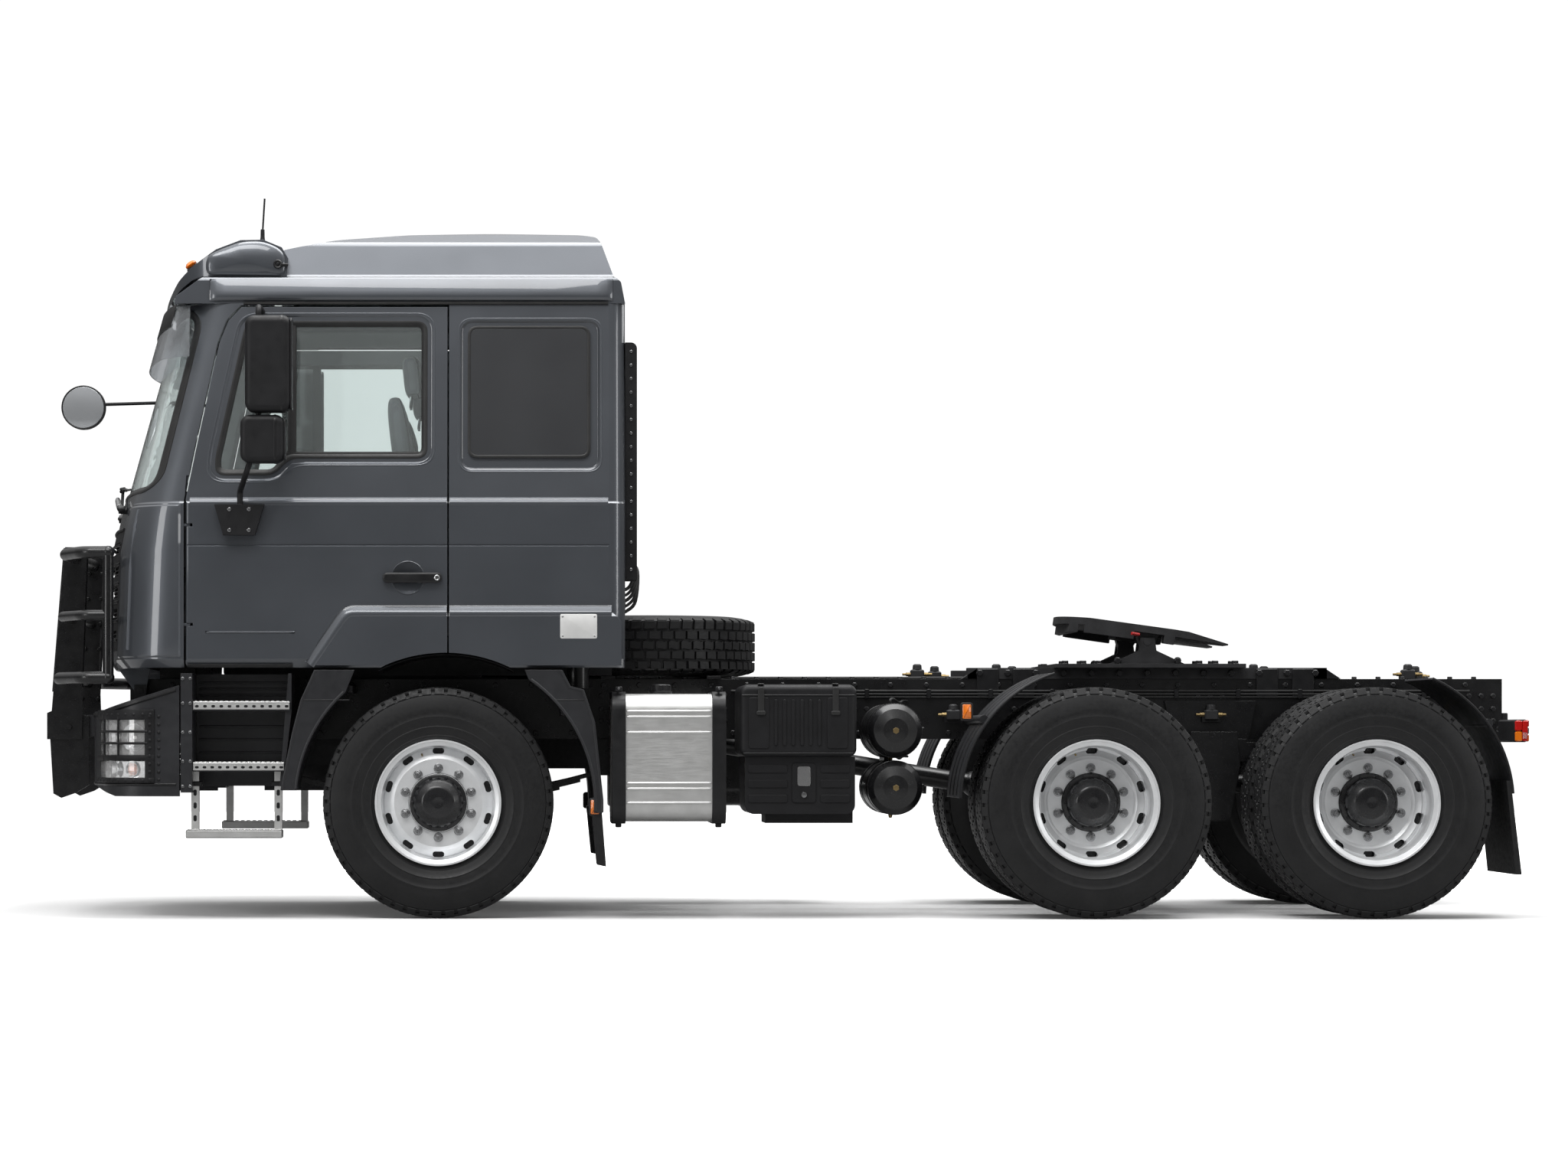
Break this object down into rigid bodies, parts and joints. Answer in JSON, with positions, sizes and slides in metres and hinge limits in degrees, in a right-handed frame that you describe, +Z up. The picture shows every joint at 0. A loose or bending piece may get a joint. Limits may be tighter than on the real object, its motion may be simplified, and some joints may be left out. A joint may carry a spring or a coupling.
{
  "type": "three-axle tractor unit",
  "caption": "Three-axle cab-over tractor unit with tilting cab, opening doors, steering front wheels, twin rear wheels, folding front guard and tilting coupling plate.",
  "frame": {"origin": "on the ground under the middle of the overall length and width", "axes": "+X towards the rear, +Y towards the vehicle's right-hand side, +Z up"},
  "size_m": [7.409, 3, 3.5052],
  "materials": {
    "paint": "dark graphite metallic",
    "black_plastic": "grained black",
    "chassis_black": "satin black",
    "wheel_silver": "silver",
    "tyre": "black",
    "rubber": "black",
    "glass": "tinted",
    "lamp": "clear",
    "aluminium": "brushed",
    "steel": "machined",
    "iron": "cast",
    "trim": "dark grey",
    "fabric": "woven"
  },
  "bodies": {
    "chassis": {"frame_rails": "chassis_black", "frame_crossmembers": "chassis_black", "chassis_brackets": "chassis_black", "front_bumper": "paint", "lamps": "lamp", "entry_steps": "trim", "mudguards": "black_plastic", "mudflaps": "rubber", "front_axle": "iron", "rear_axles": "iron", "leaf_springs": "chassis_black", "drive_shafts": "steel", "engine": "iron", "radiator": "aluminium", "fuel_tank": "aluminium", "battery_box": "black_plastic", "air_tanks": "chassis_black", "exhaust_silencer": "aluminium", "air_filter": "black_plastic", "spare_tyre": "tyre", "spare_rim": "wheel_silver", "fifth_wheel_base": "chassis_black"},
    "cab": {"cab_front": "paint", "cab_rear": "paint", "cab_floor": "trim", "cab_roof": "paint", "windscreen": "glass", "grille": "black_plastic", "roof_visor": "paint", "sun_visor": "glass", "dashboard": "trim", "seats": "fabric", "front_mirror": "black_plastic", "wipers": "black_plastic", "air_intake": "black_plastic"},
    "steering_wheel": {"steering_wheel": "black_plastic"},
    "front_guard": {"front_guard": "chassis_black"},
    "fifth_wheel": {"fifth_wheel_plate": "iron"},
    "tie_rod": {"tie_rod": "chassis_black"},
    "door_left": {"door_left": "paint", "door_glass_left": "glass", "mirror_left": "black_plastic"},
    "knuckle_left": {"knuckle_left": "iron"},
    "wheel_front_left": {"tyre_front_left": "tyre", "rim_front_left": "wheel_silver"},
    "wheels_rear1_left": {"tyres_rear1_left": "tyre", "rims_rear1_left": "wheel_silver"},
    "wheels_rear2_left": {"tyres_rear2_left": "tyre", "rims_rear2_left": "wheel_silver"},
    "door_right": {"door_right": "paint", "door_glass_right": "glass", "mirror_right": "black_plastic"},
    "knuckle_right": {"knuckle_right": "iron"},
    "wheel_front_right": {"tyre_front_right": "tyre", "rim_front_right": "wheel_silver"},
    "wheels_rear1_right": {"tyres_rear1_right": "tyre", "rims_rear1_right": "wheel_silver"},
    "wheels_rear2_right": {"tyres_rear2_right": "tyre", "rims_rear2_right": "wheel_silver"}
  },
  "joints": [
    {"name": "steer_left", "type": "hinge", "parent": "chassis", "child": "knuckle_left", "pos_m": [-1.6405, -0.85, 0.56], "axis": [0, 0, 1], "range_deg": [-38, 38]},
    {"name": "steer_right", "type": "hinge", "parent": "chassis", "child": "knuckle_right", "pos_m": [-1.6405, 0.85, 0.56], "axis": [0, 0, 1], "range_deg": [-38, 38]},
    {"name": "tie_rod_pivot", "type": "hinge", "parent": "knuckle_left", "child": "tie_rod", "pos_m": [-1.4705, -0.85, 0.427], "axis": [0, 0, 1], "range_deg": [-38, 38]},
    {"name": "steering_wheel_turn", "type": "hinge", "parent": "cab", "child": "steering_wheel", "pos_m": [-2.6255, -0.65, 2.08], "axis": [0.6157, 0, 0.788], "range_deg": [-684, 684]},
    {"name": "cab_tilt", "type": "hinge", "parent": "chassis", "child": "cab", "pos_m": [-3.1405, 0, 1.11], "axis": [0, -1, 0], "range_deg": [0, 50]},
    {"name": "guard_fold", "type": "hinge", "parent": "chassis", "child": "front_guard", "pos_m": [-3.5025, 0, 0.93], "axis": [0, -1, 0], "range_deg": [0, 100]},
    {"name": "fifth_wheel_pitch", "type": "hinge", "parent": "chassis", "child": "fifth_wheel", "pos_m": [1.8965, 0, 1.357], "axis": [0, -1, 0], "range_deg": [0, 20]},
    {"name": "door_left_swing", "type": "hinge", "parent": "cab", "child": "door_left", "pos_m": [-2.8405, -1.209, 1.42], "axis": [0, 0, -1], "range_deg": [0, 70]},
    {"name": "wheel_front_left_spin", "type": "hinge", "parent": "knuckle_left", "child": "wheel_front_left", "pos_m": [-1.6405, -1.015, 0.56], "axis": [0, 1, 0], "continuous": true},
    {"name": "wheels_rear1_left_spin", "type": "hinge", "parent": "chassis", "child": "wheels_rear1_left", "pos_m": [1.5345, -0.925, 0.56], "axis": [0, 1, 0], "continuous": true},
    {"name": "wheels_rear2_left_spin", "type": "hinge", "parent": "chassis", "child": "wheels_rear2_left", "pos_m": [2.8845, -0.925, 0.56], "axis": [0, 1, 0], "continuous": true},
    {"name": "door_right_swing", "type": "hinge", "parent": "cab", "child": "door_right", "pos_m": [-2.8405, 1.209, 1.42], "axis": [0, 0, 1], "range_deg": [0, 70]},
    {"name": "wheel_front_right_spin", "type": "hinge", "parent": "knuckle_right", "child": "wheel_front_right", "pos_m": [-1.6405, 1.015, 0.56], "axis": [0, 1, 0], "continuous": true},
    {"name": "wheels_rear1_right_spin", "type": "hinge", "parent": "chassis", "child": "wheels_rear1_right", "pos_m": [1.5345, 0.925, 0.56], "axis": [0, 1, 0], "continuous": true},
    {"name": "wheels_rear2_right_spin", "type": "hinge", "parent": "chassis", "child": "wheels_rear2_right", "pos_m": [2.8845, 0.925, 0.56], "axis": [0, 1, 0], "continuous": true}
  ],
  "couplings": [
    {"joint": "steer_right", "follows": "steer_left", "ratio": 1},
    {"joint": "tie_rod_pivot", "follows": "steer_left", "ratio": -1},
    {"joint": "steering_wheel_turn", "follows": "steer_left", "ratio": 18},
    {"joint": "guard_fold", "follows": "cab_tilt", "ratio": 2}
  ]
}
